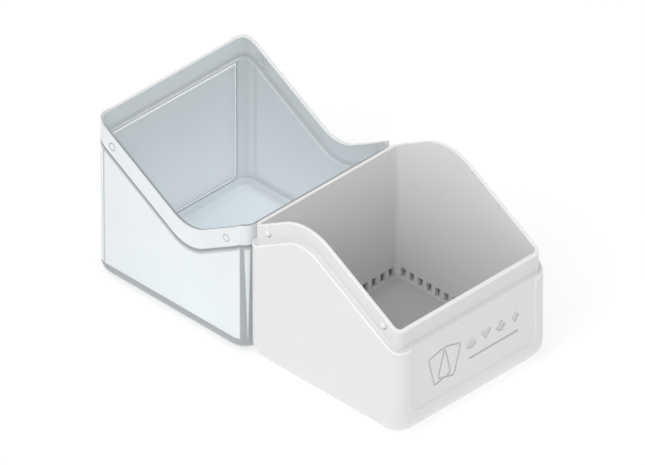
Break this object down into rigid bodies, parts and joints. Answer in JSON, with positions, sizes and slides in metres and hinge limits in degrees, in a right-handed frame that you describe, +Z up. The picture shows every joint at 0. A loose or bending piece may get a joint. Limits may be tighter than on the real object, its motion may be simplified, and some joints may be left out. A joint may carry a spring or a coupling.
{
  "type": "card deck box",
  "caption": "Square-footprint playing card deck box with a white open base, a sloped rim band and a clear lift-off lid standing upside down behind it.",
  "frame": {"origin": "centre of the base's flat underside, on the surface it stands on", "axes": "+Z up, +X to the base's right as seen from its front, +Y from the base's front panel to its rear, towards the lid"},
  "size_m": [0.08, 0.1603, 0.0724],
  "materials": {
    "base_shell": "opaque white moulded plastic with a fine satin grain",
    "base_liner": "opaque white moulded plastic, slightly softer than the outer moulding",
    "lid_shell": "clear grey-blue tinted plastic, polished"
  },
  "bodies": {
    "base": {"base_shell": "base_shell", "base_liner": "base_liner"},
    "lid": {"lid_shell": "lid_shell"}
  },
  "joints": [
    {"name": "lid_lift", "type": "slide", "parent": "base", "child": "lid", "axis": [0, 0, 1], "range_m": [0, 0.12]}
  ]
}
